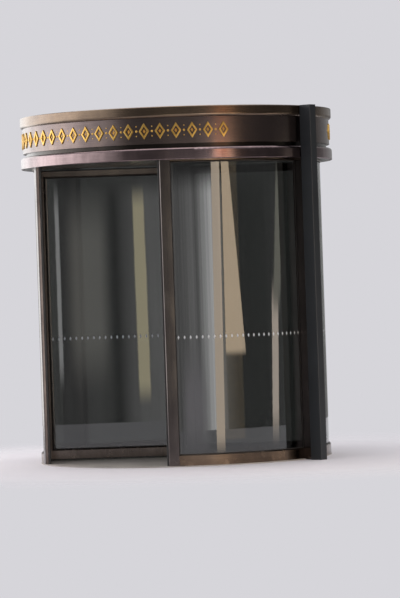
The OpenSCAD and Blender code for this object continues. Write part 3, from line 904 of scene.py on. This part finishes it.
# What the panes and the posts see
LOW_STOPS = (
    (-180, 0.08), (-150, 0.07), (-122, 0.07), (-114, 0.20), (-100, 0.70), (-82, 0.90), (-56, 0.90),
    (-36, 0.50), (-20, 0.30), (-8, 0.25), (6, 0.05), (24, 0.04), (27, 0.07), (31.9, 0.07), (32.1, 0.01),
    (32.9, 0.01), (33.1, 0.10), (36, 0.18), (46, 0.26), (54, 0.28), (60, 0.85), (63, 0.85), (72, 0.10),
    (80, 0.01), (104, 0.01), (124, 0.05), (145, 0.05), (180, 0.10),
)
# Heights between which the wall changes from what the panes see to what the canopy sees
STOPS_MEET = (3.0, 3.4)
STREAK_W = 0.6
STREAK_LENGTH = STREAK_W * 25
# Shares between which the streaks change the level
STREAK_LEVELS = (0.7, 1.4)


def studio_card(name, mesh, material):
    """Adds a card that only reflections see, so it draws the form of metal and glass."""
    mesh.materials.append(material)
    card = bpy.data.objects.new(name, mesh)
    bpy.context.scene.collection.objects.link(card)
    card.visible_camera = False
    card.visible_diffuse = False
    card.visible_transmission = False
    card.visible_shadow = False


def glowing_card(name, colour, strength):
    """A material that only glows. It returns the material, its tree and the glow's node."""
    material = bpy.data.materials.new(name)
    material.use_nodes = True
    tree = material.node_tree
    glow = add(tree, "ShaderNodeEmission", {"Color": linear(colour), "Strength": strength})
    tree.links.new(glow.outputs["Emission"], tree.nodes["Material Output"].inputs["Surface"])
    return material, tree, glow


def level_ramp(tree, turn, stops):
    """A level that changes with the angle round the axis, from stops in degrees."""
    ramp = add(tree, "ShaderNodeValToRGB", {"Fac": turn})
    marks = ramp.color_ramp.elements
    while len(marks) < len(stops):
        marks.new(0.5)
    for mark, (degrees, level) in zip(marks, stops):
        mark.position = (degrees + 180) / 360
        mark.color = (level, level, level, 1.0)
    return ramp.outputs["Color"]


def make_light_wall():
    """A round wall of graded light with faint upright streaks, seen only in reflections."""
    material, tree, glow = glowing_card("graded_light_wall", "#ffffff", 1.0)
    place = add(tree, "ShaderNodeTexCoord").outputs["Object"]
    axes = add(tree, "ShaderNodeSeparateXYZ", {0: place})
    street = add(tree, "ShaderNodeMath", {0: axes.outputs["Y"], 1: -1.0}, operation="MULTIPLY")
    angle = add(tree, "ShaderNodeMath", {0: axes.outputs["X"], 1: street.outputs["Value"]},
                operation="ARCTAN2")
    turn = add(tree, "ShaderNodeMapRange", {"Value": angle.outputs["Value"], "From Min": -math.pi,
                                           "From Max": math.pi})
    high = level_ramp(tree, turn.outputs["Result"], HIGH_STOPS)
    low = level_ramp(tree, turn.outputs["Result"], LOW_STOPS)
    rise = add(tree, "ShaderNodeMapRange", {"Value": axes.outputs["Z"], "From Min": STOPS_MEET[0],
                                           "From Max": STOPS_MEET[1]}, interpolation_type="SMOOTHSTEP")
    graded = add(tree, "ShaderNodeMix", {FACTOR: rise.outputs["Result"], LEVEL_A: low, LEVEL_B: high})
    streaks_place = add(tree, "ShaderNodeMapping", {
        "Vector": place, "Scale": (1 / STREAK_W, 1 / STREAK_W, 1 / STREAK_LENGTH)})
    streaks = add(tree, "ShaderNodeTexNoise", {"Vector": streaks_place.outputs["Vector"], "Scale": 1.0,
                                              "Detail": 4.0, "Roughness": 0.7})
    streak = add(tree, "ShaderNodeMapRange", {"Value": streaks.outputs["Fac"], "From Min": 0.35,
                                             "From Max": 0.7, "To Min": STREAK_LEVELS[0],
                                             "To Max": STREAK_LEVELS[1]})
    level = add(tree, "ShaderNodeMath", {0: graded.outputs[LEVEL_OUT], 1: streak.outputs["Result"]},
                operation="MULTIPLY")
    strength = add(tree, "ShaderNodeMath", {0: level.outputs["Value"], 1: LIGHT_WALL_PEAK},
                   operation="MULTIPLY")
    tree.links.new(strength.outputs["Value"], glow.inputs["Strength"])
    bm = bmesh.new()
    foot = bm.verts.new((0, LIGHT_WALL_R, 0))
    head = bm.verts.new((0, LIGHT_WALL_R, LIGHT_WALL_H))
    edge = bm.edges.new((foot, head))
    bmesh.ops.spin(bm, geom=[foot, head, edge], cent=(0, 0, 0), axis=(0, 0, 1), angle=2 * math.pi,
                   steps=LIGHT_WALL_SIDES, use_merge=True)
    mesh = bpy.data.meshes.new("light_wall")
    bm.to_mesh(mesh)
    bm.free()
    studio_card("light_wall", mesh, material)


# The strips stand just inside the wall, each a little nearer than the one before, so that no two meet
STRIP_R = 8.8
STRIP_STEP = 0.02


def fade_to_edges(tree, axis, width):
    """A level that falls softly to nothing over a share of the card's width at both of its edges."""
    back = add(tree, "ShaderNodeMath", {0: 1.0, 1: axis}, operation="SUBTRACT")
    edge = add(tree, "ShaderNodeMath", {0: axis, 1: back.outputs["Value"]}, operation="MINIMUM")
    level = add(tree, "ShaderNodeMapRange", {"Value": edge.outputs["Value"], "From Max": width},
                interpolation_type="SMOOTHSTEP")
    return level.outputs["Result"]


def make_light_strip(radius, name, foot_turns, head_turns, foot_z, head_z, side_fade, end_fade, radiance,
                     colour):
    """An upright strip of light between two angles at its foot and two at its head, with soft edges, seen
    only in reflections."""
    material, tree, glow = glowing_card(f"{name}_glow", colour, radiance)
    place = add(tree, "ShaderNodeTexCoord").outputs["UV"]
    axes = add(tree, "ShaderNodeSeparateXYZ", {0: place})
    sides = fade_to_edges(tree, axes.outputs["X"], side_fade)
    ends = fade_to_edges(tree, axes.outputs["Y"], end_fade / (head_z - foot_z))
    soft = add(tree, "ShaderNodeMath", {0: sides, 1: ends}, operation="MULTIPLY")
    nothing = add(tree, "ShaderNodeBsdfTransparent")
    surface = add(tree, "ShaderNodeMixShader", {0: soft.outputs["Value"], 1: nothing.outputs["BSDF"],
                                               2: glow.outputs["Emission"]})
    tree.links.new(surface.outputs["Shader"], tree.nodes["Material Output"].inputs["Surface"])
    bm = bmesh.new()
    bm.loops.layers.uv.new("place")
    bmesh.ops.create_grid(bm, x_segments=1, y_segments=1, size=0.5, calc_uvs=True)
    for vert in bm.verts:
        turns, z = (head_turns, head_z) if vert.co.y > 0 else (foot_turns, foot_z)
        turn = math.radians(turns[1] if vert.co.x > 0 else turns[0])
        vert.co = (math.sin(turn) * radius, -math.cos(turn) * radius, z)
    mesh = bpy.data.meshes.new(name)
    bm.to_mesh(mesh)
    bm.free()
    studio_card(name, mesh, material)


def make_light_strips():
    """The strips that the panes and the lower band mirror. A row gives a strip's name, its angles at the
    foot and at the head in degrees, its foot and head heights, the share of its width that fades at each
    side, the length that fades at each end, its radiance and its colour."""
    for number, strip in enumerate((
        ("left_bay_light", (27.4, 32.0), (27.4, 32.0), 0.3, 3.4, 0.3, 1.0, 0.85, "#f0eee6"),
        ("left_bay_strip", (33.9, 35.1), (33.8, 35.0), 0.2, 3.3, 0.15, 0.4, 2.4, "#fff4cc"),
        ("left_bay_thin_strip", (26.8, 27.3), (26.8, 27.3), 0.4, 3.4, 0.3, 0.6, 1.8, "#ffffff"),
        ("street_low_light", (36.5, 60.0), (38.5, 58.0), -0.6, 1.3, 0.3, 0.9, 1.2, "#f2eef4"),
        ("right_bay_strip", (61.8, 68.4), (64.6, 71.0), -0.4, 3.8, 0.06, 0.4, 3.5, "#ffead2"),
        ("right_bay_slant", (71.0, 87.0), (72.2, 76.4), 0.93, 3.8, 0.04, 0.12, 3.6, "#fbe2c2"),
        ("lower_band_glow", (64.5, 77.0), (65.5, 76.0), 3.48, 3.95, 0.15, 0.12, 2.7, "#ff9348"),
        ("far_bay_strip_low", (106.5, 113.0), (110.6, 117.6), -0.3, 2.0, 0.1, 0.6, 3.0, "#ffeedd"),
        ("far_bay_strip_high", (110.0, 117.5), (118.6, 127.6), 1.3, 3.6, 0.15, 0.6, 1.0, "#f2f0dc"),
        ("far_bay_thin_strip", (126.0, 130.0), (130.0, 134.0), 0.3, 1.8, 0.2, 0.4, 1.0, "#f6dcd8"),
    )):
        make_light_strip(STRIP_R - number * STRIP_STEP, *strip)


TOP_SOFTBOX = {"size": 12.0, "height": 10.0, "radiance": 1.3}


def make_top_softbox():
    """A large soft lamp overhead, for the floor and the roof."""
    data = bpy.data.lights.new("top_softbox", "AREA")
    data.size = TOP_SOFTBOX["size"]
    data.energy = lamp_power(TOP_SOFTBOX["radiance"], data.size, data.size)
    lamp = bpy.data.objects.new("top_softbox", data)
    lamp.location = (0, 0, TOP_SOFTBOX["height"])
    lamp.visible_camera = False
    bpy.context.scene.collection.objects.link(lamp)


def make_lamps():
    """All the lamps. A row gives an upright lamp's name, its angle in plan in degrees, its distance,
    height, size, radiance and colour."""
    for name, turn, distance, height, size, radiance, colour in (
        ("key_softbox", -70, 6.0, 2.6, (5.4, 5.2), 2.3, "#fff0ea"),
        ("warm_strip", 75, 6.5, 2.6, (1.7, 5.2), 2.4, "#ffd9a8"),
        ("lobby_softbox", 180, 8.0, 3.0, (6.0, 4.0), 0.8, "#ffffff"),
    ):
        make_softbox(name, math.radians(turn), distance, height, size, radiance, colour)
    make_top_softbox()


make_camera()
make_floor()
make_world()
make_light_wall()
make_light_strips()
make_lamps()
bpy.context.scene.view_settings.view_transform = "Standard"
